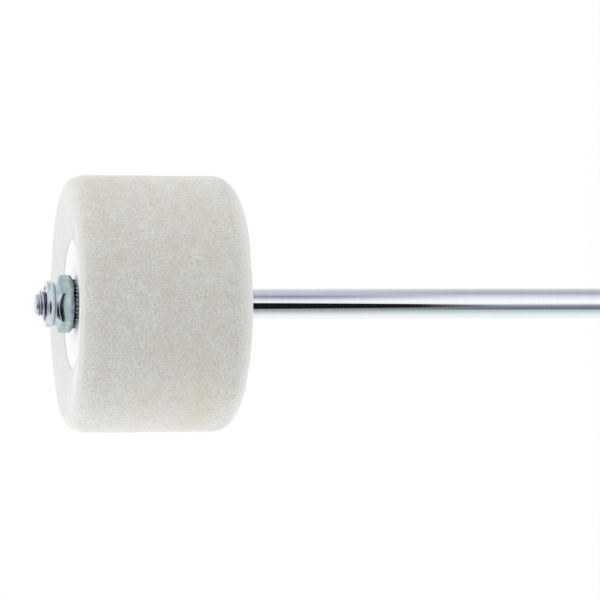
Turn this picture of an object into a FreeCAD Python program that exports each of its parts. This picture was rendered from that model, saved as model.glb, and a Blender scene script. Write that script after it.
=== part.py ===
import FreeCAD, Part
import math
import os

# A bass drum beater: a thick felt ring on a moulded hub, at the end of a chromed rod.
# A flat washer and a thin nut on the rod's thread carry the hub from below.
# A toothed washer and a lock nut with a nylon ring hold it from above.
# Millimetres. The rod stands along +Z with the head up. The origin is on the rod's
# axis, in the middle of the stretch that a pedal's clamp grips.

# Rod
rod_diameter = 6.0
grip_height = 20.0
rod_reach = 152.25
rod_end_chamfer = 0.8
thread_diameter = 5.9
thread_pitch = 1.0
thread_depth_share = 0.61
run_out_length = 0.8
stud_showing = 1.85

# Felt ring, with both ends dished towards the hub. Its upper rim falls to a crisp edge, outside
# which the felt rounds over into its side.
felt_diameter = 50.8
felt_length = 33.8
felt_dish = 1.3
felt_rim_width = 2.8
felt_edge_width = 1.2
felt_edge_fall = 0.65
felt_edge_slope = 55.0
felt_lower_round = 5.0

# Hub, a step below the felt's inner edge, dished above and hollowed below for the fasteners
hub_diameter = 25.2
hub_step = 0.15
hub_seat_diameter = 13.0
hub_dish = 0.75
hub_lower_recess_diameter = 18.0
hub_lower_recess_depth = 6.0
hub_edge_round = 0.4
hub_bore_clearance = 0.08

# Flat washer under the hub
flat_washer_diameter = 12.5
flat_washer_thickness = 1.2
flat_washer_clearance = 0.2
flat_washer_edge_round = 0.3

# Thin nut under the flat washer
jam_nut_flats = 10.0
jam_nut_height = 3.2
jam_nut_bore_clearance = 0.03

# Toothed washer between the hub and the lock nut
lock_washer_diameter = 9.7
lock_washer_thickness = 0.3
lock_washer_clearance = 0.15
tooth_count = 36
tooth_length = 0.75
tooth_root_width_share = 0.7
tooth_tip_width_share = 0.5
tooth_twist = 45.0
tooth_seat_gap = 0.02

# Lock nut, whose collar is crimped over the nylon ring
lock_nut_flats = 10.0
lock_nut_height = 5.45
lock_nut_rest_turn = 22.0
lock_nut_wall_height = 2.55
lock_nut_shoulder_angle = 40.0
lock_nut_bore_clearance = 0.05
neck_wall = 0.4
collar_bulge = 0.45
collar_flare_height = 0.6
crimp_thickness = 0.45
crimp_round = 0.8
crimp_opening_gap = 0.55
nylon_height = 1.4
nylon_wall = 0.85
nylon_bore_clearance = 0.03
nylon_seat_clearance = 0.03

# Hex nuts: how their bearing edges and bores are broken
nut_chamfer_angle = 30.0
nut_bearing_share = 0.96
nut_countersink = 0.3

# How many straight steps draw a round: broad, middling, or a plain broken edge
broad_steps = 5
middling_steps = 3
edge_steps = 1

# Room that every cut runs past the face it opens, and how near two points are one
overrun = 1.0
same_point = 1e-6

# Sizes and heights that follow
rod_radius = rod_diameter / 2
thread_radius = thread_diameter / 2
thread_core_radius = thread_radius - thread_depth_share * thread_pitch
felt_base = rod_reach
felt_top = felt_base + felt_length
hub_base = felt_base + felt_dish
felt_inner_top = felt_top - felt_dish
hub_top = felt_inner_top - hub_step
hub_lower_seat = hub_base + hub_lower_recess_depth
hub_top_seat = hub_top - hub_dish
flat_washer_base = hub_lower_seat - flat_washer_thickness
jam_nut_base = flat_washer_base - jam_nut_height
tooth_pitch = math.pi * lock_washer_diameter / tooth_count
tooth_tip_width = tooth_pitch * tooth_tip_width_share
tooth_root_width = tooth_pitch * tooth_root_width_share
tooth_lean = math.radians(tooth_twist)
tooth_rise = tooth_root_width * math.sin(tooth_lean) + lock_washer_thickness * math.cos(tooth_lean)
lock_washer_middle = hub_top_seat + tooth_seat_gap + tooth_rise / 2
lock_nut_base = lock_washer_middle + tooth_rise / 2 + tooth_seat_gap
lock_nut_top = lock_nut_base + lock_nut_height
stud_top = lock_nut_top + stud_showing
nylon_top = lock_nut_top - crimp_thickness
nylon_base = nylon_top - nylon_height
nylon_seat_radius = thread_radius + nylon_wall
neck_radius = nylon_seat_radius + neck_wall
collar_radius = neck_radius + collar_bulge

upward = FreeCAD.Vector(0, 0, 1)
centre = FreeCAD.Vector(0, 0, 0)


def at(radius, height):
    """A point of a turned outline, in the XZ plane."""
    return FreeCAD.Vector(radius, 0, height)


def rounded_corner(before, corner, after, radius, steps):
    """Points of the arc that rounds a corner off, in equal straight steps."""
    back = (before - corner).normalize()
    ahead = (after - corner).normalize()
    half = back.getAngle(ahead) / 2
    pivot = corner + (back + ahead).normalize() * (radius / math.sin(half))
    first = corner + back * (radius / math.tan(half)) - pivot
    last = corner + ahead * (radius / math.tan(half)) - pivot
    sweep = first.getAngle(last)
    shares = [step / steps for step in range(steps + 1)]
    weights = [(math.sin((1 - share) * sweep), math.sin(share * sweep)) for share in shares]
    return [pivot + (first * a + last * b) * (1 / math.sin(sweep)) for a, b in weights]


def turned(*corners):
    """A solid turned about the rod's axis, from the corners of its outline.

    A corner is (radius, height), or (radius, height, round, steps) to round it off.
    """
    places = [at(corner[0], corner[1]) for corner in corners]
    outline = []
    for index, corner in enumerate(corners):
        before, after = places[index - 1], places[(index + 1) % len(places)]
        if len(corner) > 2:
            outline += rounded_corner(before, places[index], after, *corner[2:])
        else:
            outline.append(places[index])
    outline = [p for index, p in enumerate(outline) if not p.isEqual(outline[index - 1], same_point)]
    face = Part.Face(Part.makePolygon(outline + outline[:1]))
    return face.revolve(centre, upward, 360)


def ring(inner_radius, outer_radius, base, top):
    """A plain ring, with square edges."""
    return turned((inner_radius, base), (outer_radius, base), (outer_radius, top), (inner_radius, top))


def hex_bar(flats, base, height, turn):
    """A six-sided bar, with one flat facing turn degrees from +X."""
    corner_radius = flats / math.sqrt(3)
    angles = [math.radians(turn + 30 + 60 * side) for side in range(7)]
    corners = [FreeCAD.Vector(math.cos(a), math.sin(a), 0) * corner_radius for a in angles]
    bar = Part.Face(Part.makePolygon(corners)).extrude(upward * height)
    bar.translate(upward * base)
    return bar


def countersink(bore_radius, face, into):
    """The cone that breaks a bore's edge at a face. into is 1 upwards, or -1 downwards."""
    tip = face + into * nut_countersink
    mouth = face - into * overrun
    mouth_radius = bore_radius + nut_countersink + overrun
    return turned((0, tip), (bore_radius, tip), (mouth_radius, mouth), (0, mouth))


def make_rod():
    """A plain round rod, with its top end turned down and threaded. The thread itself is not cut."""
    foot = -grip_height
    tip_break = thread_radius - thread_core_radius
    return turned(
        (0, foot),
        (rod_radius - rod_end_chamfer, foot),
        (rod_radius, foot + rod_end_chamfer),
        (rod_radius, jam_nut_base - run_out_length),
        (thread_radius, jam_nut_base),
        (thread_radius, stud_top - tip_break),
        (thread_core_radius, stud_top),
        (0, stud_top),
    )


def make_felt_head():
    """A pressed felt ring: dished at both ends, and rounded over outside its rims."""
    outer = felt_diameter / 2
    inner = hub_diameter / 2
    slope = math.radians(felt_edge_slope)
    edge = felt_top - felt_edge_fall
    side = edge - felt_edge_width * math.tan(slope)
    edge_round = felt_edge_width / math.cos(slope) * math.tan(math.pi / 4 + slope / 2)
    return turned(
        (inner, hub_base),
        (outer - felt_lower_round, felt_base),
        (outer, felt_base, felt_lower_round, broad_steps),
        (outer, side, edge_round, middling_steps),
        (outer - felt_edge_width, edge),
        (outer - felt_rim_width, felt_top),
        (inner, felt_inner_top),
    )


def make_hub():
    """A moulded core, dished to a flat seat for the toothed washer, with a well below."""
    bore = thread_radius + hub_bore_clearance
    outer = hub_diameter / 2
    lower_well = hub_lower_recess_diameter / 2
    return turned(
        (bore, hub_lower_seat),
        (lower_well, hub_lower_seat, hub_edge_round, edge_steps),
        (lower_well, hub_base, hub_edge_round, edge_steps),
        (outer, hub_base),
        (outer, hub_top),
        (hub_seat_diameter / 2, hub_top_seat),
        (bore, hub_top_seat),
    )


def make_lower_washer():
    """A stamped flat washer, with the rounded rim that the punch leaves on its lower side."""
    inner = thread_radius + flat_washer_clearance
    outer = flat_washer_diameter / 2
    return turned(
        (inner, flat_washer_base),
        (outer, flat_washer_base, flat_washer_edge_round, edge_steps),
        (outer, hub_lower_seat),
        (inner, hub_lower_seat),
    )


def make_jam_nut():
    """A thin hex nut, chamfered on both faces."""
    corner = jam_nut_flats / math.sqrt(3)
    bearing = jam_nut_flats / 2 * nut_bearing_share
    chamfer = (corner - bearing) * math.tan(math.radians(nut_chamfer_angle))
    top = jam_nut_base + jam_nut_height
    envelope = turned(
        (0, jam_nut_base),
        (bearing, jam_nut_base),
        (corner, jam_nut_base + chamfer),
        (corner, top - chamfer),
        (bearing, top),
        (0, top),
    )
    body = hex_bar(jam_nut_flats, jam_nut_base, jam_nut_height, 0).common(envelope)
    bore_radius = thread_radius + jam_nut_bore_clearance
    bore = Part.makeCylinder(bore_radius, jam_nut_height + 2 * overrun, at(0, jam_nut_base - overrun))
    mouths = [countersink(bore_radius, jam_nut_base, 1), countersink(bore_radius, top, -1)]
    return body.cut([bore] + mouths)


def make_tooth():
    """One tooth of the toothed washer, twisted about the radius that it stands on."""
    tip = lock_washer_diameter / 2
    root = tip - tooth_length
    sunk = root - lock_washer_thickness
    half_root = tooth_root_width / 2
    half_tip = tooth_tip_width / 2
    corners = [
        FreeCAD.Vector(sunk, -half_root, 0),
        FreeCAD.Vector(root, -half_root, 0),
        FreeCAD.Vector(tip, -half_tip, 0),
        FreeCAD.Vector(tip, half_tip, 0),
        FreeCAD.Vector(root, half_root, 0),
        FreeCAD.Vector(sunk, half_root, 0),
        FreeCAD.Vector(sunk, -half_root, 0),
    ]
    tooth = Part.Face(Part.makePolygon(corners)).extrude(upward * lock_washer_thickness)
    tooth.translate(upward * (-lock_washer_thickness / 2))
    tooth.rotate(centre, FreeCAD.Vector(1, 0, 0), tooth_twist)
    return tooth


def make_lock_washer():
    """A flat ring with twisted teeth all round its rim."""
    half = lock_washer_thickness / 2
    band = ring(
        thread_radius + lock_washer_clearance,
        lock_washer_diameter / 2 - tooth_length,
        -half,
        half,
    )
    teeth = []
    for number in range(tooth_count):
        tooth = make_tooth()
        tooth.rotate(centre, upward, 360 / tooth_count * number)
        teeth.append(tooth)
    washer = band.fuse(teeth).removeSplitter()
    washer.translate(upward * lock_washer_middle)
    return washer


def make_lock_nut():
    """A hex nut with a shoulder, a neck and a bulged collar, crimped in over a nylon ring."""
    corner = lock_nut_flats / math.sqrt(3)
    bearing = lock_nut_flats / 2 * nut_bearing_share
    opening = thread_radius + crimp_opening_gap
    chamfer = (corner - bearing) * math.tan(math.radians(nut_chamfer_angle))
    wall_top = lock_nut_base + lock_nut_wall_height
    neck = wall_top + (corner - neck_radius) * math.tan(math.radians(lock_nut_shoulder_angle))
    envelope = turned(
        (0, lock_nut_base),
        (bearing, lock_nut_base),
        (corner, lock_nut_base + chamfer),
        (corner, wall_top),
        (neck_radius, neck),
        (collar_radius, neck + collar_flare_height),
        (collar_radius, lock_nut_top, crimp_round, middling_steps),
        (0, lock_nut_top),
    )
    bar = hex_bar(lock_nut_flats, lock_nut_base, lock_nut_height, lock_nut_rest_turn)
    bore_radius = thread_radius + lock_nut_bore_clearance
    bore = Part.makeCylinder(bore_radius, lock_nut_height + 2 * overrun, at(0, lock_nut_base - overrun))
    seat = Part.makeCylinder(nylon_seat_radius, nylon_height, at(0, nylon_base))
    mouth = Part.makeCylinder(opening, crimp_thickness + overrun, at(0, nylon_top))
    return bar.common(envelope).cut([bore, seat, mouth, countersink(bore_radius, lock_nut_base, 1)])


def make_nylon_ring():
    """The ring under the collar's crimp, which grips the thread."""
    return ring(
        thread_radius + nylon_bore_clearance,
        nylon_seat_radius - nylon_seat_clearance,
        nylon_base,
        nylon_top,
    )


pieces = {
    "rod": make_rod,
    "jam_nut": make_jam_nut,
    "lower_washer": make_lower_washer,
    "hub": make_hub,
    "felt_head": make_felt_head,
    "lock_washer": make_lock_washer,
    "lock_nut": make_lock_nut,
    "nylon_ring": make_nylon_ring,
}

os.makedirs("parts", exist_ok=True)
for name, make in pieces.items():
    (solid,) = make().Solids
    solid.exportStep(os.path.join("parts", name + ".step"))
    print(name, "valid", solid.isValid(), "volume", round(solid.Volume, 2))
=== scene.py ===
import math

import bmesh
import bpy
from mathutils import Matrix, Vector, noise


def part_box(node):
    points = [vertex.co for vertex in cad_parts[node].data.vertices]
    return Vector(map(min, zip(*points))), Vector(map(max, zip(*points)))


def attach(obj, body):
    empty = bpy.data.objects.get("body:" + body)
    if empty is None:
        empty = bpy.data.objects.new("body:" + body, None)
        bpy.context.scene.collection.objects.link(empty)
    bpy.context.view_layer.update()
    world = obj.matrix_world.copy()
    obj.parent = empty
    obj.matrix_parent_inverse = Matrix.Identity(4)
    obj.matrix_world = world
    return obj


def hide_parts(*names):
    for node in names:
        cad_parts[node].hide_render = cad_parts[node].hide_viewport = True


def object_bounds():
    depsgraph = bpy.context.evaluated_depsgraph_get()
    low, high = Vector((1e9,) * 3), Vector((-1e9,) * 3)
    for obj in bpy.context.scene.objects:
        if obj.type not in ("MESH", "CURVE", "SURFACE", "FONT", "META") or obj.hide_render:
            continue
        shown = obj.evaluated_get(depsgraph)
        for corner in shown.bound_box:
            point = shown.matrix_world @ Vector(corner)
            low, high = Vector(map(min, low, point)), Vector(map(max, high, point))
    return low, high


# A bass drum beater, dressed: a pressed wool felt head on a moulded hub, held between two
# zinc plated nuts on the threaded end of a chromed rod. Places come from the frame, in
# metres, and the sizes that it doesn't give are below.
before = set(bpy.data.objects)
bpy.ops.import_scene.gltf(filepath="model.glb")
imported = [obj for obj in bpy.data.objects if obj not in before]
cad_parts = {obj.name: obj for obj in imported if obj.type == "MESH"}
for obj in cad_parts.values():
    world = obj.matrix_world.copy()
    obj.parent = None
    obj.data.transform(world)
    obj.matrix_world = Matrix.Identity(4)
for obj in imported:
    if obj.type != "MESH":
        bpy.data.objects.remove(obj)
cad_low, cad_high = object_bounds()

MM = 0.001
ORIGIN = Vector((0, 0, 0))
UPWARD = Vector((0, 0, 1))
FULL_TURN = 2 * math.pi
SAME_POINT = 0.002 * MM
SAME_PLANE = math.radians(1)

# Felt ring: its dished end, its rims, and the lumps and tufts that pressing leaves in it
felt_dish = 1.3 * MM
felt_inner_round = 0.25 * MM
felt_rim_width = 2.8 * MM
felt_rim_round = 1.2 * MM
felt_edge_width = 1.2 * MM
felt_edge_fall = 0.65 * MM
felt_edge_slope = math.radians(55)
felt_edge_round = 1.2 * MM
felt_side_round_share = 0.8
felt_lower_round = 5.0 * MM
felt_cell = 0.42 * MM
felt_lump_size = 9.0 * MM
felt_lump_height = 0.12 * MM
felt_tuft_size = 1.6 * MM
felt_tuft_height = 0.05 * MM
felt_pinned_width = 1.5 * MM

# Wool: the sizes and strengths of its marks, its clean end and the painted light on its lower rim
wool_clump_size = 0.42 * MM
wool_clump_height = 0.12 * MM
wool_fibre_size = 0.28 * MM
wool_fibre_height = 0.08 * MM
wool_side_fuzz_share = 0.4
wool_end_fuzz_share = 0.05
wool_band_size = 9.0 * MM
wool_band_stretch_shares = (0.16, 0.16, 1.0)
wool_band_edge_shares = (0.45, 0.75)
wool_band_share = 0.5
wool_blotch_size = 3.2 * MM
wool_fleck_spacing = 2.6 * MM
wool_fleck_edge_shares = (0.13, 0.04)
wool_fleck_share = 0.35
wool_end_blend = 0.4 * MM
wool_clean_share = 0.7
wool_underlight_height = 3.6 * MM
wool_underlight_share = 0.8

# Thread: rolled, with its depth and flats as shares of the pitch, and a tapered tip
thread_pitch = 1.0 * MM
thread_radius = 2.95 * MM
thread_depth_share = 0.61
thread_core_radius = thread_radius - thread_depth_share * thread_pitch
thread_crest_share = 0.125
thread_root_share = 0.25
thread_taper_share = 0.78
thread_taper_length = 1.6 * MM
thread_tip_radius = 1.85 * MM
thread_scuff_size = 0.4 * MM
# Where the painted shade in the grooves gives way to pale, as shares of the thread's depth
thread_shade_edge_shares = (0.1, 0.55)

# Rod: how its lower end is broken, the cone where the thread runs out, and its polish
rod_end_chamfer = 0.8 * MM
rod_edge_round = 0.2 * MM
run_out_length = 0.8 * MM
rod_polish_size = 0.5 * MM
rod_polish_stretch_shares = (0.12, 0.12, 1.0)

# Hub: its bore, the washer's seat in its dished top, its lower well, its rounds and its grain
hub_bore_radius = 3.03 * MM
hub_seat_radius = 6.5 * MM
hub_dish = 0.75 * MM
hub_rim_round = 0.12 * MM
hub_lower_well_radius = 9.0 * MM
hub_lower_well_depth = 6.0 * MM
hub_edge_round = 0.4 * MM
hub_flow_size = 7.0 * MM
hub_grain_size = 0.3 * MM
hub_grain_height = 0.02 * MM
hub_grain_share = 0.15

# Nuts: across the flats, how their edges are broken, and the lock nut's outline
nut_sides = 6
nut_flats = 10.0 * MM
nut_bearing_share = 0.96
nut_chamfer_angle = math.radians(30)
nut_bore_radius = 2.99 * MM
nut_countersink = 0.3 * MM
nut_edge_round = 0.14 * MM
lock_nut_turn = math.radians(22)
lock_nut_wall_height = 2.55 * MM
lock_nut_shoulder_angle = math.radians(40)
neck_radius = 4.2 * MM
neck_round = 0.15 * MM
collar_radius = 4.65 * MM
collar_flare_height = 0.6 * MM
collar_flare_round = 0.4 * MM
crimp_round = 0.5 * MM
crimp_opening_radius = 3.5 * MM
crimp_edge_round = 0.12 * MM

# Zinc: its patches and knocks, and the lock nut's painted shade and highlight, by height above its
# foot
zinc_patch_size = 1.4 * MM
zinc_knock_size = 0.7 * MM
zinc_knock_depth = 0.04 * MM
zinc_knock_share = 0.2
zinc_foot_shade_heights = (0.3 * MM, 1.5 * MM)
zinc_foot_shade_share = 0.9
zinc_ragged_height = 0.5 * MM
zinc_neck_shade_width = 0.15 * MM
zinc_neck_shade_share = 0.9
zinc_collar_highlight_heights = (2.6 * MM, 2.9 * MM)

# Washers, and how the toothed one is rubbed bare, with a painted highlight where its teeth meet the
# hub
flat_washer_bore_radius = 3.15 * MM
flat_washer_edge_round = 0.3 * MM
stamped_edge_round = 0.05 * MM
washer_rub_size = 0.8 * MM
washer_pale_edge_shares = (0.42, 0.62)
washer_foot_highlight_height = 0.5 * MM
washer_foot_highlight_share = 0.3

# Nylon ring, and how deep light goes into it
nylon_bore_radius = 2.98 * MM
nylon_edge_round = 0.1 * MM
nylon_seat_clearance = 0.03 * MM
nylon_cloud_size = 1.2 * MM
nylon_glow_depth = 0.6 * MM

# How finely round things are drawn, which edges count as sharp, and where most of a noise lies
turn_steps = 144
thread_steps = 48
round_segments = 6
ease_segments = 2
sharp_angle = math.radians(20)
shading_angle = math.radians(32)
dim_share = 0.3
bright_share = 0.7

# Camera: square to the rod but for a tilt that shows the head's end, rolled to lay the rod level
camera_lens = 192.0
camera_clip_start = 0.01
camera_distance = 0.640
camera_tilt = math.radians(11.7)
camera_aim = Vector((0.00072, 0, 0.1387))
camera_roll = math.radians(-0.06)

# Floor disc, lamps round the head and the walls' glow, in metres and watts
floor_radius = 0.36
floor_fade_share = 0.45
lamp_reach = 0.75
lamp_size = 0.55
right_lamp_power = 0.95
left_lamp_power = 2.3
left_lamp_turn = math.radians(27)
top_lamp_power = 2.0
top_lamp_lean = math.radians(3)
top_lamp_colour = "#F8FBFF"
wall_glow_front = 0.71
wall_glow_back = 0.92

# Walls that metal mirrors, at three heights: degrees turned from the camera's side, and a colour
room_high_walls = (
    (-180, "#FFFFFF"), (-152, "#EEF3F3"), (-138, "#D8E1E1"), (-112, "#FAFCFD"),
    (-62, "#EDF1F2"), (-34, "#B6C0C0"), (0, "#BCC6C6"), (24, "#E4E4F0"), (60, "#F2F2FA"),
    (84, "#D0D8DC"), (102, "#BDCACE"), (126, "#DCE4E7"), (152, "#FFFFFF"), (180, "#FFFFFF"),
)
room_level_walls = (
    (-180, "#6E747C"), (-162, "#FAFCFE"), (-108, "#F4F8FA"), (-85, "#DEE2E5"),
    (-58, "#A9ADB0"), (-42, "#95999B"), (-28, "#BEC4C6"), (2, "#ECEEF2"), (18, "#F4F6FA"),
    (54, "#868E9C"), (76, "#BDC4CE"), (121, "#D2D4D9"), (150, "#F0F2F5"), (163, "#FAFCFE"),
    (180, "#6E747C"),
)
room_low_walls = (
    (-180, "#7E848C"), (-160, "#FAFCFE"), (-96, "#E8F0F1"), (-55, "#B4C0C4"),
    (-43, "#5E676E"), (-31, "#7C828E"), (-16, "#979BA9"), (0, "#FAFCFF"), (20, "#FFFFFF"),
    (58, "#D6DAE6"), (85, "#A6ACBA"), (139, "#CED3D9"), (161, "#FAFCFE"), (180, "#7E848C"),
)

# Where those walls blend, in degrees risen from level, and the room's dark doorway and skylight
room_level_heights = (-8.4, -10.4)
room_low_heights = (-11.6, -15.6)
room_dark = "#16171B"
skylight_way = Vector((-0.24, 0.1, 0.97))
skylight_edge = (26, 12)
doorway_turn = -18.5
doorway_half_width = 29.8
doorway_rise = -0.5
doorway_half_height = 15.8
doorway_edge_shares = (1.04, 0.96)
doorway_foot_heights = (-17.0, -14.4)


def linear(hex_colour):
    """An sRGB hex colour as linear red, green and blue, with full alpha."""
    levels = [int(hex_colour[place:place + 2], 16) / 255 for place in (1, 3, 5)]
    return [v / 12.92 if v <= 0.04045 else ((v + 0.055) / 1.055) ** 2.4 for v in levels] + [1.0]


def per_metre(size):
    """The scale of a pattern whose marks are of that size."""
    return 1 / size


def plug(tree, node, inputs):
    """Sets or links a node's inputs, by name or number."""
    for name, value in inputs.items():
        if isinstance(value, bpy.types.NodeSocket):
            tree.links.new(value, node.inputs[name])
        else:
            node.inputs[name].default_value = value


def add(tree, kind, inputs=None, stops=(), **settings):
    """Adds a node. An input takes a value or the output that feeds it.

    Stops are a ramp's colours, which fill the two that it starts with first.
    """
    node = tree.nodes.new("ShaderNode" + kind)
    for name, value in settings.items():
        setattr(node, name, value)
    plug(tree, node, inputs or {})
    for number, (place, colour) in enumerate(stops):
        elements = node.color_ramp.elements
        stop = elements[number] if number < 2 else elements.new(place)
        stop.position = place
        stop.color = colour
    return node


def new_material(name):
    """An empty shaded material: itself, its tree, its shader and its object coordinates."""
    material = bpy.data.materials.new(name)
    material.use_nodes = True
    tree = material.node_tree
    shader = tree.nodes["Principled BSDF"]
    where = add(tree, "TexCoord").outputs["Object"]
    return material, tree, shader, where


def from_axis(tree, where):
    """How far a place is from the rod's axis."""
    flat = add(tree, "VectorMath", {0: where, 1: (1, 1, 0)}, operation="MULTIPLY")
    return add(tree, "VectorMath", {0: flat.outputs["Vector"]}, operation="LENGTH").outputs["Value"]


def pressed_wool_felt():
    """Wool fibres matted and pressed hard, left undyed.

    There is no weave: the eye sees a fine speckle of fibre clumps, and a dull fuzz that pales
    towards the edges and lies flat on the pressed end.
    """
    material, tree, shader, where = new_material("pressed_wool_felt")
    clumps = add(
        tree, "TexNoise",
        {"Vector": where, "Scale": per_metre(wool_clump_size), "Detail": 2.0, "Roughness": 0.6},
    ).outputs["Fac"]
    fibres = add(
        tree, "TexNoise",
        {
            "Vector": where, "Scale": per_metre(wool_fibre_size),
            "Detail": 2.0, "Roughness": 0.7, "Distortion": 0.6,
        },
    ).outputs["Fac"]
    end = wool_end(tree, where)
    raised = add(
        tree, "MapRange",
        {"Value": end, "To Min": wool_side_fuzz_share, "To Max": wool_end_fuzz_share},
    ).outputs["Result"]
    matted = add(
        tree, "Bump",
        {"Height": clumps, "Strength": raised, "Distance": wool_clump_height},
    ).outputs["Normal"]
    fuzz = add(
        tree, "Bump",
        {"Height": fibres, "Strength": raised, "Distance": wool_fibre_height, "Normal": matted},
    ).outputs["Normal"]
    dullness = add(
        tree, "MapRange",
        {
            "Value": fibres, "From Min": dim_share, "From Max": bright_share,
            "To Min": 0.88, "To Max": 1.0,
        },
    ).outputs["Result"]
    plug(tree, shader, {
        "Base Color": wool_colour(tree, where, clumps, end),
        "Roughness": dullness,
        "Normal": fuzz,
        "IOR": 1.45,
        "Specular IOR Level": 0.2,
        "Sheen Weight": 0.8,
        "Sheen Roughness": 0.28,
    })
    return material


def wool_end(tree, where):
    """Where the felt is its pressed end, 1, and where it isn't, 0."""
    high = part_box("felt_head")[1]
    end_base = high.z - felt_dish
    end_radius = high.x - felt_edge_width
    height = add(tree, "SeparateXYZ", {0: where}).outputs["Z"]
    radius = from_axis(tree, where)
    above = add(
        tree, "MapRange",
        {"Value": height, "From Min": end_base - wool_end_blend, "From Max": end_base},
    ).outputs["Result"]
    within = add(
        tree, "MapRange",
        {"Value": radius, "From Min": end_radius + wool_end_blend, "From Max": end_radius},
    ).outputs["Result"]
    return add(tree, "Math", {0: above, 1: within}, operation="MULTIPLY").outputs["Value"]


def wool_colour(tree, where, clumps, end):
    """The wool's colour.

    Faint warm bands go round the ring where the wool was laid, with yellowish blotches over
    them. The lower rim is painted paler, as a painted light from below, the end is cleaner where
    it was pressed flat, and there is a dark fleck here and there.
    """
    wool = add(
        tree, "ValToRGB", {"Fac": clumps},
        stops=[(dim_share, linear("#CFCFCA")), (bright_share, linear("#EBECEA"))],
    ).outputs["Color"]
    laid = add(
        tree, "Mapping", {"Vector": where, "Scale": wool_band_stretch_shares},
    ).outputs["Vector"]
    bands = add(
        tree, "TexNoise",
        {"Vector": laid, "Scale": per_metre(wool_band_size), "Detail": 4.0, "Roughness": 0.6},
    ).outputs["Fac"]
    warmth = add(
        tree, "MapRange",
        {
            "Value": bands, "From Min": wool_band_edge_shares[0],
            "From Max": wool_band_edge_shares[1], "To Max": wool_band_share,
        },
    ).outputs["Result"]
    warmed = add(
        tree, "Mix", {"Factor": warmth, "A": wool, "B": linear("#D3CCBB")}, data_type="RGBA",
    ).outputs["Result"]
    blotches = add(
        tree, "TexNoise",
        {"Vector": where, "Scale": per_metre(wool_blotch_size), "Detail": 3.0, "Roughness": 0.65},
    ).outputs["Fac"]
    blotch = add(
        tree, "ValToRGB", {"Fac": blotches},
        stops=[(dim_share, linear("#FBF7F0")), (bright_share, linear("#FFFFFF"))],
    ).outputs["Color"]
    blotched = add(
        tree, "Mix", {"Factor": 1.0, "A": warmed, "B": blotch},
        data_type="RGBA", blend_type="MULTIPLY",
    ).outputs["Result"]
    # Painted light: the lower rim is made paler towards the felt's base, as if lit from below.
    height = add(tree, "SeparateXYZ", {0: where}).outputs["Z"]
    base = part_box("felt_head")[0].z
    wear_and_painted_light = add(
        tree, "MapRange",
        {
            "Value": height, "From Min": base + wool_underlight_height, "From Max": base,
            "To Max": wool_underlight_share,
        },
    ).outputs["Result"]
    paled = add(
        tree, "Mix", {"Factor": wear_and_painted_light, "A": blotched, "B": linear("#F6F6F4")}, data_type="RGBA",
    ).outputs["Result"]
    unmarked = add(tree, "Math", {0: end, 1: wool_clean_share}, operation="MULTIPLY").outputs["Value"]
    cleaned = add(
        tree, "Mix", {"Factor": unmarked, "A": paled, "B": linear("#D8D8D7")}, data_type="RGBA",
    ).outputs["Result"]
    specks = add(
        tree, "TexVoronoi", {"Vector": where, "Scale": per_metre(wool_fleck_spacing)},
    ).outputs["Distance"]
    fleck = add(
        tree, "MapRange",
        {
            "Value": specks, "From Min": wool_fleck_edge_shares[0],
            "From Max": wool_fleck_edge_shares[1], "To Max": wool_fleck_share,
        },
    ).outputs["Result"]
    return add(
        tree, "Mix", {"Factor": fleck, "A": cleaned, "B": linear("#85817A")}, data_type="RGBA",
    ).outputs["Result"]


def chrome_plate():
    """Bright chrome over a ground and polished steel rod.

    It mirrors the room in long stripes, slightly cool, and only a faint haze of polishing
    round the rod softens them.
    """
    material, tree, shader, where = new_material("chrome_plate")
    ground = add(
        tree, "Mapping", {"Vector": where, "Scale": rod_polish_stretch_shares},
    ).outputs["Vector"]
    polish = add(
        tree, "TexNoise",
        {"Vector": ground, "Scale": per_metre(rod_polish_size), "Detail": 3.0, "Roughness": 0.6},
    ).outputs["Fac"]
    haze = add(
        tree, "MapRange",
        {
            "Value": polish, "From Min": dim_share, "From Max": bright_share,
            "To Min": 0.02, "To Max": 0.05,
        },
    ).outputs["Result"]
    tint = add(
        tree, "ValToRGB", {"Fac": polish},
        stops=[(dim_share, linear("#F6F8FA")), (bright_share, linear("#FCFDFE"))],
    ).outputs["Color"]
    plug(tree, shader, {"Base Color": tint, "Metallic": 1.0, "Roughness": haze})
    return material


def rolled_steel_thread():
    """The rod's rolled thread, where the plating is thin and dull.

    It is a violet grey, softly blurred, painted darker down in the grooves as shade, and pale at the
    tip.
    """
    material, tree, shader, where = new_material("rolled_steel_thread")
    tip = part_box("rod")[1].z
    radius = from_axis(tree, where)
    # Painted shade: the tint darkens from the crests down into the grooves, but not at the tip.
    crest = add(
        tree, "MapRange",
        {"Value": radius, "From Min": thread_core_radius, "From Max": thread_radius},
    ).outputs["Result"]
    height = add(tree, "SeparateXYZ", {0: where}).outputs["Z"]
    end = add(
        tree, "MapRange",
        {"Value": height, "From Min": tip - thread_pitch, "From Max": tip - thread_pitch / 2},
    ).outputs["Result"]
    unmarked = add(tree, "Math", {0: crest, 1: end}, operation="MAXIMUM").outputs["Value"]
    shaded_end, unshaded_end = thread_shade_edge_shares
    tint = add(
        tree, "ValToRGB", {"Fac": unmarked},
        stops=[(shaded_end, linear("#7C7E8A")), (unshaded_end, linear("#D4D8E2"))],
    ).outputs["Color"]
    scuffs = add(
        tree, "TexNoise",
        {"Vector": where, "Scale": per_metre(thread_scuff_size), "Detail": 2.0, "Roughness": 0.6},
    ).outputs["Fac"]
    blur = add(
        tree, "MapRange",
        {
            "Value": scuffs, "From Min": dim_share, "From Max": bright_share,
            "To Min": 0.22, "To Max": 0.38,
        },
    ).outputs["Result"]
    plug(tree, shader, {"Base Color": tint, "Metallic": 1.0, "Roughness": blur})
    return material


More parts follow.
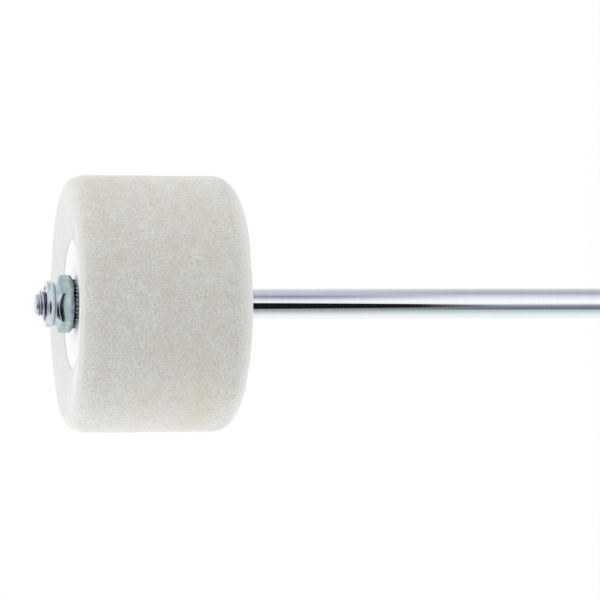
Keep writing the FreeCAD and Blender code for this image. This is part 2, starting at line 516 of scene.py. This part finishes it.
def zinc_plate(name):
    """Zinc plated steel, barrel plated and passivated clear.

    It is a pale metal with a faint blue cast, slightly blurred, and patchy where the nuts
    tumbled against each other. The tint and the patches are given back with the material.
    """
    material, tree, shader, where = new_material(name)
    patches = add(
        tree, "TexNoise",
        {"Vector": where, "Scale": per_metre(zinc_patch_size), "Detail": 3.0, "Roughness": 0.6},
    ).outputs["Fac"]
    tint = add(
        tree, "ValToRGB", {"Fac": patches},
        stops=[(dim_share, linear("#A8BCC1")), (bright_share, linear("#C6D8DC"))],
    ).outputs["Color"]
    blur = add(
        tree, "MapRange",
        {
            "Value": patches, "From Min": dim_share, "From Max": bright_share,
            "To Min": 0.10, "To Max": 0.22,
        },
    ).outputs["Result"]
    knocks = add(
        tree, "TexNoise",
        {"Vector": where, "Scale": per_metre(zinc_knock_size), "Detail": 2.0, "Roughness": 0.5},
    ).outputs["Fac"]
    tumbled = add(
        tree, "Bump",
        {"Height": knocks, "Strength": zinc_knock_share, "Distance": zinc_knock_depth},
    ).outputs["Normal"]
    plug(tree, shader, {
        "Base Color": tint,
        "Metallic": 1.0,
        "Roughness": blur,
        "Normal": tumbled,
    })
    return material, tint, patches


def bright_zinc_plate():
    """The zinc of the pieces under the hub, as it left the plater."""
    return zinc_plate("bright_zinc_plate")[0]


def zinc_plate_with_painted_light():
    """The lock nut's zinc.

    Its collar is painted paler as a highlight, its neck is painted dark as shade, and the foot
    of its flats is painted darker as shade beside the black washer.
    """
    material, tint, patches = zinc_plate("zinc_plate_with_painted_light")
    tree = material.node_tree
    shader = tree.nodes["Principled BSDF"]
    where = add(tree, "TexCoord").outputs["Object"]
    height = add(tree, "SeparateXYZ", {0: where}).outputs["Z"]
    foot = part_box("lock_nut")[0].z
    # Painted shade: the flats darken towards the foot beside the black washer, with a ragged edge.
    ragged = add(
        tree, "Math", {0: patches, 1: zinc_ragged_height, 2: height}, operation="MULTIPLY_ADD",
    ).outputs["Value"]
    foot_shade = add(
        tree, "MapRange",
        {
            "Value": ragged, "From Min": foot + zinc_foot_shade_heights[0],
            "From Max": foot + zinc_foot_shade_heights[1], "To Min": zinc_foot_shade_share, "To Max": 0.0,
        },
    ).outputs["Result"]
    foot_shaded = add(
        tree, "Mix", {"Factor": foot_shade, "A": tint, "B": linear("#30383B")}, data_type="RGBA",
    ).outputs["Result"]
    # Painted highlight: the collar is painted paler from its flare up.
    rolled = add(
        tree, "MapRange",
        {
            "Value": height, "From Min": foot + zinc_collar_highlight_heights[0],
            "From Max": foot + zinc_collar_highlight_heights[1],
        },
    ).outputs["Result"]
    collar_highlighted = add(
        tree, "Mix", {"Factor": rolled, "A": foot_shaded, "B": linear("#DFE5EC")}, data_type="RGBA",
    ).outputs["Result"]
    # Painted shade: a dark line is painted round the neck, where the shoulder meets the collar.
    beside = add(tree, "Math", {0: height, 1: neck_height()}, operation="SUBTRACT").outputs["Value"]
    apart = add(tree, "Math", {0: beside}, operation="ABSOLUTE").outputs["Value"]
    neck_shade = add(
        tree, "MapRange",
        {"Value": apart, "From Max": zinc_neck_shade_width, "To Min": zinc_neck_shade_share, "To Max": 0.0},
    ).outputs["Result"]
    neck_shaded = add(
        tree, "Mix", {"Factor": neck_shade, "A": collar_highlighted, "B": linear("#1E2326")}, data_type="RGBA",
    ).outputs["Result"]
    plug(tree, shader, {"Base Color": neck_shaded})
    return material


def black_spring_steel():
    """Stamped spring steel, hardened and blacked in hot oxide.

    It is a soft black with a slight sheen, and here and there the teeth are rubbed to bare steel.
    Their feet, where they meet the hub, are painted paler as a highlight.
    """
    material, tree, shader, where = new_material("black_spring_steel")
    wear_and_painted_light = add(
        tree, "TexNoise",
        {"Vector": where, "Scale": per_metre(washer_rub_size), "Detail": 3.0, "Roughness": 0.6},
    ).outputs["Fac"]
    # Painted highlight: the teeth are painted paler towards their feet, where they meet the hub.
    height = add(tree, "SeparateXYZ", {0: where}).outputs["Z"]
    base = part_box("lock_washer")[0].z
    foot_highlight = add(
        tree, "MapRange",
        {
            "Value": height, "From Min": base + washer_foot_highlight_height, "From Max": base,
            "To Max": washer_foot_highlight_share,
        },
    ).outputs["Result"]
    bare_and_highlit = add(tree, "Math", {0: wear_and_painted_light, 1: foot_highlight}, operation="ADD").outputs["Value"]
    black_end, pale_end = washer_pale_edge_shares
    tint = add(
        tree, "ValToRGB", {"Fac": bare_and_highlit},
        stops=[(black_end, linear("#26272A")), (pale_end, linear("#C8CCD2"))],
    ).outputs["Color"]
    blur = add(
        tree, "MapRange",
        {
            "Value": wear_and_painted_light, "From Min": dim_share, "From Max": bright_share,
            "To Min": 0.5, "To Max": 0.36,
        },
    ).outputs["Result"]
    plug(tree, shader, {"Base Color": tint, "Metallic": 1.0, "Roughness": blur})
    return material


def moulded_white_plastic():
    """A hub moulded in white acetal.

    It is a clean white, satin where the tool was fine blasted, with a very fine grain.
    """
    material, tree, shader, where = new_material("moulded_white_plastic")
    blasted = add(
        tree, "TexNoise",
        {"Vector": where, "Scale": per_metre(hub_grain_size), "Detail": 2.0, "Roughness": 0.6},
    ).outputs["Fac"]
    flow = add(
        tree, "TexNoise",
        {"Vector": where, "Scale": per_metre(hub_flow_size), "Detail": 2.0, "Roughness": 0.5},
    ).outputs["Fac"]
    tint = add(
        tree, "ValToRGB", {"Fac": flow},
        stops=[(dim_share, linear("#F1F1EF")), (bright_share, linear("#F5F5F4"))],
    ).outputs["Color"]
    satin = add(
        tree, "MapRange",
        {
            "Value": blasted, "From Min": dim_share, "From Max": bright_share,
            "To Min": 0.36, "To Max": 0.5,
        },
    ).outputs["Result"]
    grain = add(
        tree, "Bump",
        {"Height": blasted, "Strength": hub_grain_share, "Distance": hub_grain_height},
    ).outputs["Normal"]
    plug(tree, shader, {"Base Color": tint, "Roughness": satin, "Normal": grain, "IOR": 1.48})
    return material


def natural_nylon():
    """Natural nylon, turned into the lock nut's ring.

    It is a milky off-white, waxy rather than glossy.
    """
    material, tree, shader, where = new_material("natural_nylon")
    cloud = add(
        tree, "TexNoise",
        {"Vector": where, "Scale": per_metre(nylon_cloud_size), "Detail": 2.0, "Roughness": 0.5},
    ).outputs["Fac"]
    tint = add(
        tree, "ValToRGB", {"Fac": cloud},
        stops=[(dim_share, linear("#DDE0DA")), (bright_share, linear("#E8EAE5"))],
    ).outputs["Color"]
    waxy = add(
        tree, "MapRange",
        {
            "Value": cloud, "From Min": dim_share, "From Max": bright_share,
            "To Min": 0.4, "To Max": 0.5,
        },
    ).outputs["Result"]
    plug(tree, shader, {
        "Base Color": tint,
        "Roughness": waxy,
        "IOR": 1.53,
        "Subsurface Weight": 0.2,
        "Subsurface Scale": nylon_glow_depth,
    })
    return material


def piece(name, bm, material, body, node):
    """Makes a bmesh into a piece that rides on a body and stands for a node."""
    mesh = bpy.data.meshes.new(name)
    bm.to_mesh(mesh)
    bm.free()
    mesh.shade_smooth()
    mesh.set_sharp_from_angle(angle=shading_angle)
    mesh.materials.append(material)
    made = bpy.data.objects.new(name, mesh)
    bpy.context.scene.collection.objects.link(made)
    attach(made, body)
    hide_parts(node)
    return made


def draw_outline(bm, corners, closed, cell):
    """Draws an outline in the XZ plane, with its rounds, in steps no longer than a cell."""
    places = [Vector((corner[0], 0, corner[1])) for corner in corners]
    verts = [bm.verts.new(place) for place in places]
    following = verts[1:] + verts[:1] if closed else verts[1:]
    for pair in zip(verts, following):
        bm.edges.new(pair)
    for index, corner in enumerate(corners):
        if len(corner) < 3:
            continue
        back = places[index - 1] - places[index]
        ahead = places[(index + 1) % len(places)] - places[index]
        reach = corner[2] / math.tan(back.angle(ahead) / 2)
        bmesh.ops.bevel(
            bm, geom=[verts[index]], offset=reach, offset_type="OFFSET", affect="VERTICES",
            segments=round_segments, profile=0.5, material=-1,
        )
    for edge in bm.edges[:]:
        cuts = math.ceil(edge.calc_length() / cell) - 1
        if cuts > 0:
            bmesh.ops.subdivide_edges(bm, edges=[edge], cuts=cuts)


def turned(bm, corners, steps=turn_steps, closed=True, cell=math.inf):
    """Turns an outline about the rod's axis.

    A corner is (radius, height), or (radius, height, round). An outline that starts and ends
    on the axis is left open there.
    """
    draw_outline(bm, corners, closed, cell)
    bmesh.ops.spin(
        bm, geom=bm.verts[:] + bm.edges[:], cent=ORIGIN, axis=UPWARD, angle=FULL_TURN,
        steps=steps, use_merge=True,
    )
    tidy(bm)


def tidy(bm):
    """Merges what coincides and turns the faces outwards."""
    bmesh.ops.remove_doubles(bm, verts=bm.verts, dist=SAME_POINT)
    bmesh.ops.dissolve_degenerate(bm, edges=bm.edges, dist=SAME_POINT)
    bmesh.ops.recalc_face_normals(bm, faces=bm.faces)


def trim(bm, place, facing):
    """Cuts off what lies beyond a plane, and closes the cut."""
    cut = bmesh.ops.bisect_plane(
        bm, geom=bm.verts[:] + bm.edges[:] + bm.faces[:], plane_co=place, plane_no=facing,
        clear_outer=True, dist=SAME_POINT,
    )
    rim = [part for part in cut["geom_cut"] if isinstance(part, bmesh.types.BMEdge)]
    bmesh.ops.edgeloop_fill(bm, edges=rim)


def six_flats(bm, turn):
    """Cuts a turned body down to a nut's six flats, the first of them facing turn from +X."""
    for side in range(nut_sides):
        angle = turn + FULL_TURN / nut_sides * side
        facing = Vector((math.cos(angle), math.sin(angle), 0))
        trim(bm, facing * nut_flats / 2, facing)
    tidy(bm)


def ease_edges(bm, width):
    """Rounds every sharp edge a little."""
    sharp = [edge for edge in bm.edges if edge.calc_face_angle(0) > sharp_angle]
    bmesh.ops.bevel(
        bm, geom=sharp, offset=width, offset_type="OFFSET", affect="EDGES",
        segments=ease_segments, profile=0.5, material=-1, clamp_overlap=True,
    )


def felt_ring(material):
    """The pressed felt head: dished ends, rounded rims, and a slightly lumpy surface."""
    low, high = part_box("felt_head")
    hub_low, hub_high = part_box("hub")
    outer = high.x
    inner = hub_high.x
    edge = high.z - felt_edge_fall
    side = edge - felt_edge_width * math.tan(felt_edge_slope)
    slope_length = felt_edge_width / math.cos(felt_edge_slope)
    largest_round = slope_length * math.tan(math.pi / 4 + felt_edge_slope / 2)
    bm = bmesh.new()
    turned(
        bm,
        [
            (inner, hub_low.z),
            (outer - felt_lower_round, low.z),
            (outer, low.z, felt_lower_round),
            (outer, side, largest_round * felt_side_round_share),
            (outer - felt_edge_width, edge, felt_edge_round),
            (outer - felt_rim_width, high.z, felt_rim_round),
            (inner, high.z - felt_dish, felt_inner_round),
        ],
        steps=int(FULL_TURN * outer / felt_cell),
        cell=felt_cell,
    )
    bm.normal_update()
    for vert in bm.verts:
        lump = felt_lump_height * noise.noise(vert.co / felt_lump_size)
        tuft = felt_tuft_height * noise.noise(vert.co / felt_tuft_size)
        free = min(1.0, (vert.co.xy.length - inner) / felt_pinned_width)
        vert.co += vert.normal * (lump + tuft) * max(0.0, free)
    ring = piece("felt_ring", bm, material, "head", "felt_head")


def threaded_rod(plating, rolled):
    """The rod with its rolled thread, which stands clear of the lock nut at the tip."""
    low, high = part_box("rod")
    thread_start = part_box("jam_nut")[0].z
    rod_radius = high.x
    bm = bmesh.new()
    helix(bm, thread_start, high.z)
    for face in bm.faces:
        face.material_index = 1
    shank = bmesh.new()
    turned(
        shank,
        [
            (0, low.z),
            (rod_radius - rod_end_chamfer, low.z, rod_edge_round),
            (rod_radius, low.z + rod_end_chamfer, rod_edge_round),
            (rod_radius, thread_start - run_out_length, rod_edge_round),
            (thread_radius, thread_start),
            (0, thread_start),
        ],
        closed=False,
    )
    plain = bpy.data.meshes.new("plain_rod")
    shank.to_mesh(plain)
    shank.free()
    bm.from_mesh(plain)
    rod = piece("threaded_rod", bm, plating, "rod_assembly", "rod")
    rod.data.materials.append(rolled)


def helix(bm, base, top):
    """A screw thread between two heights, slimmer towards its tip, where its edge is broken."""
    core = thread_core_radius
    start = base - thread_pitch
    flank_share = (1 - thread_crest_share - thread_root_share) / 2
    rise_shares = [0, thread_root_share, thread_root_share + flank_share, 1 - flank_share, 1]
    radii = [core, core, thread_radius, thread_radius, core]
    verts = [
        bm.verts.new((radius, 0, start + share * thread_pitch))
        for radius, share in zip(radii, rise_shares)
    ]
    edges = [bm.edges.new(pair) for pair in zip(verts, verts[1:])]
    turns = math.ceil((top - start) / thread_pitch) + 1
    bmesh.ops.spin(
        bm, geom=verts + edges, cent=ORIGIN, axis=UPWARD, dvec=UPWARD * thread_pitch / thread_steps,
        angle=FULL_TURN * turns, steps=thread_steps * turns,
    )
    tidy(bm)
    trim(bm, UPWARD * base, -UPWARD)
    trim(bm, UPWARD * top, UPWARD)
    for vert in bm.verts:
        depth = top - vert.co.z
        width_share = thread_taper_share + (1 - thread_taper_share) * depth / thread_taper_length
        vert.co.xy *= min(1.0, width_share)
        room = thread_tip_radius + depth
        if vert.co.xy.length > room:
            vert.co.xy *= room / vert.co.xy.length
    tidy(bm)


def hub(material):
    """The moulded core, dished to the washer's seat above and hollowed below."""
    low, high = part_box("hub")
    lower_seat = low.z + hub_lower_well_depth
    top_seat = high.z - hub_dish
    bm = bmesh.new()
    turned(bm, [
        (hub_bore_radius, lower_seat),
        (hub_lower_well_radius, lower_seat, hub_edge_round),
        (hub_lower_well_radius, low.z, hub_edge_round),
        (high.x, low.z),
        (high.x, high.z, hub_rim_round),
        (hub_seat_radius, top_seat, hub_edge_round),
        (hub_bore_radius, top_seat),
    ])
    piece("moulded_hub", bm, material, "head", "hub")


def flat_washer(material):
    """The stamped washer under the hub."""
    low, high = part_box("lower_washer")
    bm = bmesh.new()
    turned(bm, [
        (flat_washer_bore_radius, low.z, stamped_edge_round),
        (high.x, low.z, flat_washer_edge_round),
        (high.x, high.z, stamped_edge_round),
        (flat_washer_bore_radius, high.z),
    ])
    piece("flat_washer", bm, material, "rod_assembly", "lower_washer")


def nut_chamfer():
    """A nut's corner radius, its bearing circle's, and how deep the chamfer between them is."""
    corner = nut_flats / math.sqrt(3)
    bearing = nut_flats / 2 * nut_bearing_share
    return corner, bearing, (corner - bearing) * math.tan(nut_chamfer_angle)


def thin_nut(material):
    """The thin nut under the flat washer, chamfered on both faces."""
    low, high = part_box("jam_nut")
    corner, bearing, chamfer = nut_chamfer()
    bm = bmesh.new()
    turned(bm, [
        (nut_bore_radius, low.z + nut_countersink),
        (nut_bore_radius + nut_countersink, low.z),
        (bearing, low.z),
        (corner, low.z + chamfer),
        (corner, high.z - chamfer),
        (bearing, high.z),
        (nut_bore_radius + nut_countersink, high.z),
        (nut_bore_radius, high.z - nut_countersink),
    ])
    six_flats(bm, 0)
    ease_edges(bm, nut_edge_round)
    piece("thin_nut", bm, material, "rod_assembly", "jam_nut")


def neck_height():
    """How high the lock nut's neck is, where its shoulder meets its collar."""
    corner = nut_flats / math.sqrt(3)
    rise = (corner - neck_radius) * math.tan(lock_nut_shoulder_angle)
    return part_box("lock_nut")[0].z + lock_nut_wall_height + rise


def crimped_nut(material):
    """The lock nut: a hex with a sloped shoulder, a neck, and a collar crimped over the nylon ring."""
    low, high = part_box("lock_nut")
    nylon_low, nylon_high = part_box("nylon_ring")
    corner, bearing, chamfer = nut_chamfer()
    neck = neck_height()
    seat_radius = nylon_high.x + nylon_seat_clearance
    seat_base = nylon_low.z - nylon_seat_clearance
    seat_top = nylon_high.z + nylon_seat_clearance
    bm = bmesh.new()
    turned(bm, [
        (nut_bore_radius, low.z + nut_countersink),
        (nut_bore_radius + nut_countersink, low.z),
        (bearing, low.z),
        (corner, low.z + chamfer),
        (corner, low.z + lock_nut_wall_height),
        (neck_radius, neck, neck_round),
        (collar_radius, neck + collar_flare_height, collar_flare_round),
        (collar_radius, high.z, crimp_round),
        (crimp_opening_radius, high.z, crimp_edge_round),
        (crimp_opening_radius, seat_top, crimp_edge_round),
        (seat_radius, seat_top),
        (seat_radius, seat_base),
        (nut_bore_radius, seat_base),
    ])
    six_flats(bm, lock_nut_turn)
    ease_edges(bm, nut_edge_round)
    piece("crimped_lock_nut", bm, material, "nut", "lock_nut")


def nylon_insert(material):
    """The ring that grips the thread, just under the crimp."""
    low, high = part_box("nylon_ring")
    bm = bmesh.new()
    turned(bm, [
        (nylon_bore_radius, low.z),
        (high.x, low.z, nylon_edge_round),
        (high.x, high.z, nylon_edge_round),
        (nylon_bore_radius, high.z, nylon_edge_round),
    ])
    piece("nylon_insert", bm, material, "nut_lift", "nylon_ring")


def toothed_washer(material):
    """The toothed washer, with the edges of its stamping eased."""
    bm = bmesh.new()
    bm.from_mesh(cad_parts["lock_washer"].data)
    bmesh.ops.remove_doubles(bm, verts=bm.verts, dist=SAME_POINT)
    bmesh.ops.dissolve_limit(bm, angle_limit=SAME_PLANE, verts=bm.verts, edges=bm.edges)
    ease_edges(bm, stamped_edge_round)
    piece("toothed_washer", bm, material, "head", "lock_washer")


def floor():
    """A pale disc under the rod's lower end, faded out before its edge. Metal doesn't mirror it."""
    bm = bmesh.new()
    bmesh.ops.create_circle(bm, cap_ends=True, segments=turn_steps, radius=floor_radius)
    bmesh.ops.translate(bm, verts=bm.verts, vec=UPWARD * cad_low[2])
    mesh = bpy.data.meshes.new("floor")
    bm.to_mesh(mesh)
    bm.free()
    material, tree, shader, where = new_material("pale_floor")
    solid = add(
        tree, "MapRange",
        {
            "Value": from_axis(tree, where), "From Min": floor_radius * floor_fade_share,
            "From Max": floor_radius, "To Min": 1.0, "To Max": 0.0,
        },
        interpolation_type="SMOOTHSTEP",
    ).outputs["Result"]
    under = add(tree, "NewGeometry").outputs["Backfacing"]
    shown = add(
        tree, "Math", {0: solid, 1: under}, operation="SUBTRACT", use_clamp=True,
    ).outputs["Value"]
    clear = add(tree, "BsdfTransparent").outputs["BSDF"]
    faded = add(tree, "MixShader", {0: shown, 1: clear, 2: shader.outputs["BSDF"]})
    plug(tree, tree.nodes["Material Output"], {"Surface": faded.outputs["Shader"]})
    plug(tree, shader, {"Base Color": linear("#EDEDED"), "Roughness": 0.9, "Specular IOR Level": 0.1})
    mesh.materials.append(material)
    disc = bpy.data.objects.new("floor", mesh)
    disc.visible_glossy = False
    bpy.context.scene.collection.objects.link(disc)


def head_centre():
    """The middle of the felt head."""
    low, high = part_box("felt_head")
    return (low + high) / 2


def lamp(name, place, power, colour="#FFFFFF"):
    """A square soft lamp that faces the head. Metal mirrors the walls and not the lamps."""
    light = bpy.data.lights.new(name, "AREA")
    light.energy = power
    light.color = linear(colour)[:3]
    light.size = lamp_size
    stand = bpy.data.objects.new(name, light)
    facing = (place - head_centre()).to_track_quat("Z", "Y")
    stand.matrix_world = Matrix.LocRotScale(place, facing, None)
    stand.visible_glossy = False
    bpy.context.scene.collection.objects.link(stand)


def lamps():
    """Soft lamps on both sides of the head, and one over it."""
    centre = head_centre()
    right = Vector((1, 0, 0))
    left = Vector((-math.cos(left_lamp_turn), math.sin(left_lamp_turn), 0))
    above = Vector((0, math.sin(top_lamp_lean), math.cos(top_lamp_lean)))
    lamp("right_lamp", centre + right * lamp_reach, right_lamp_power)
    lamp("left_lamp", centre + left * lamp_reach, left_lamp_power)
    lamp("top_lamp", centre + above * lamp_reach, top_lamp_power, top_lamp_colour)


def round_walls(tree, turn, stops):
    """The colours met going round the walls, in degrees from the camera's side towards +X."""
    share = add(tree, "MapRange", {"Value": turn, "From Min": -math.pi, "From Max": math.pi})
    places = [((angle + 180) / 360, linear(colour)) for angle, colour in stops]
    return add(tree, "ValToRGB", {"Fac": share.outputs["Result"]}, stops=places).outputs["Color"]


def between(tree, value, start, end, **settings):
    """How far an angle has gone from one angle in degrees, 0, to another, 1."""
    ends = {"Value": value, "From Min": math.radians(start), "From Max": math.radians(end)}
    return add(tree, "MapRange", ends, **settings).outputs["Result"]


def room_walls(tree, turn, rise):
    """The room's walls, blended from the colours at one height to those at the next."""
    walls_above = round_walls(tree, turn, room_high_walls)
    lower_walls = ((room_level_heights, room_level_walls), (room_low_heights, room_low_walls))
    for heights, stops in lower_walls:
        walls_below = round_walls(tree, turn, stops)
        walls_above = add(
            tree, "Mix",
            {"Factor": between(tree, rise, *heights), "A": walls_above, "B": walls_below},
            data_type="RGBA",
        ).outputs["Result"]
    return walls_above


def doorway(tree, turn, rise):
    """How far a way leads into the doorway: an ellipse whose foot fades into the lit ground."""
    across = between(tree, turn, doorway_turn, doorway_turn + doorway_half_width, clamp=False)
    along = between(tree, rise, doorway_rise, doorway_rise - doorway_half_height, clamp=False)
    place = add(tree, "CombineXYZ", {0: across, 1: along}).outputs["Vector"]
    reach = add(tree, "VectorMath", {0: place}, operation="LENGTH").outputs["Value"]
    opening = add(
        tree, "MapRange",
        {"Value": reach, "From Min": doorway_edge_shares[0], "From Max": doorway_edge_shares[1]},
        interpolation_type="SMOOTHSTEP",
    ).outputs["Result"]
    unlit = between(tree, rise, *doorway_foot_heights)
    return add(tree, "Math", {0: opening, 1: unlit}, operation="MULTIPLY").outputs["Value"]


def skylight(tree, ahead):
    """How far a way leads into the skylight overhead."""
    near = add(
        tree, "VectorMath", {0: ahead, 1: skylight_way.normalized()}, operation="DOT_PRODUCT",
    ).outputs["Value"]
    away = add(tree, "Math", {0: near}, operation="ARCCOSINE").outputs["Value"]
    return between(tree, away, *skylight_edge, interpolation_type="SMOOTHSTEP")


def mirrored_room(tree, ahead, way):
    """What metal mirrors: bright walls, greyer behind the camera, a dark doorway and skylight."""
    towards = add(tree, "Math", {0: way.outputs["Y"], 1: -1.0}, operation="MULTIPLY").outputs["Value"]
    turn = add(
        tree, "Math", {0: way.outputs["X"], 1: towards}, operation="ARCTAN2",
    ).outputs["Value"]
    rise = add(tree, "Math", {0: way.outputs["Z"]}, operation="ARCSINE").outputs["Value"]
    dark = add(
        tree, "Math", {0: doorway(tree, turn, rise), 1: skylight(tree, ahead)}, operation="MAXIMUM",
    ).outputs["Value"]
    return add(
        tree, "Mix", {"Factor": dark, "A": room_walls(tree, turn, rise), "B": linear(room_dark)},
        data_type="RGBA",
    ).outputs["Result"]


def walls():
    """White to the eye, a room for metal to mirror, and a glow on the rest, stronger from behind."""
    world = bpy.data.worlds.new("studio")
    bpy.context.scene.world = world
    world.use_nodes = True
    tree = world.node_tree
    ahead = add(tree, "TexCoord").outputs["Generated"]
    way = add(tree, "SeparateXYZ", {0: ahead})
    ray = add(tree, "LightPath")
    camera_ray = ray.outputs["Is Camera Ray"]
    seen = add(
        tree, "Mix",
        {"Factor": camera_ray, "A": mirrored_room(tree, ahead, way), "B": linear("#FFFFFF")},
        data_type="RGBA",
    ).outputs["Result"]
    straight = add(
        tree, "Math", {0: camera_ray, 1: ray.outputs["Is Glossy Ray"]}, operation="MAXIMUM",
    ).outputs["Value"]
    direct = add(
        tree, "Math", {0: straight, 1: ray.outputs["Is Transmission Ray"]}, operation="MAXIMUM",
    ).outputs["Value"]
    shown = add(tree, "Background", {"Color": seen, "Strength": 1.0}).outputs["Background"]
    brightness = add(
        tree, "MapRange",
        {
            "Value": way.outputs["Y"], "From Min": -1.0,
            "To Min": wall_glow_front, "To Max": wall_glow_back,
        },
    ).outputs["Result"]
    glow = add(
        tree, "Background", {"Color": linear("#FFFFFF"), "Strength": brightness},
    ).outputs["Background"]
    both = add(tree, "MixShader", {0: direct, 1: glow, 2: shown})
    plug(tree, tree.nodes["World Output"], {"Surface": both.outputs["Shader"]})


def camera():
    """The photograph's camera: the head to the left and the rod out of frame to the right."""
    lens = bpy.data.cameras.new("camera")
    lens.lens = camera_lens
    lens.clip_start = camera_clip_start
    eye = bpy.data.objects.new("camera", lens)
    back = Vector((0, -math.cos(camera_tilt), math.sin(camera_tilt)))
    right = Vector((0, -math.sin(camera_tilt), -math.cos(camera_tilt)))
    level = Matrix((right, back.cross(right), back)).transposed()
    turn = level @ Matrix.Rotation(camera_roll, 3, "Z")
    eye.matrix_world = Matrix.Translation(camera_aim + back * camera_distance) @ turn.to_4x4()
    bpy.context.scene.collection.objects.link(eye)
    bpy.context.scene.camera = eye


zinc = bright_zinc_plate()
felt_ring(pressed_wool_felt())
threaded_rod(chrome_plate(), rolled_steel_thread())
hub(moulded_white_plastic())
flat_washer(zinc)
thin_nut(zinc)
crimped_nut(zinc_plate_with_painted_light())
nylon_insert(natural_nylon())
toothed_washer(black_spring_steel())
floor()
lamps()
walls()
camera()
bpy.context.scene.view_settings.view_transform = "Standard"
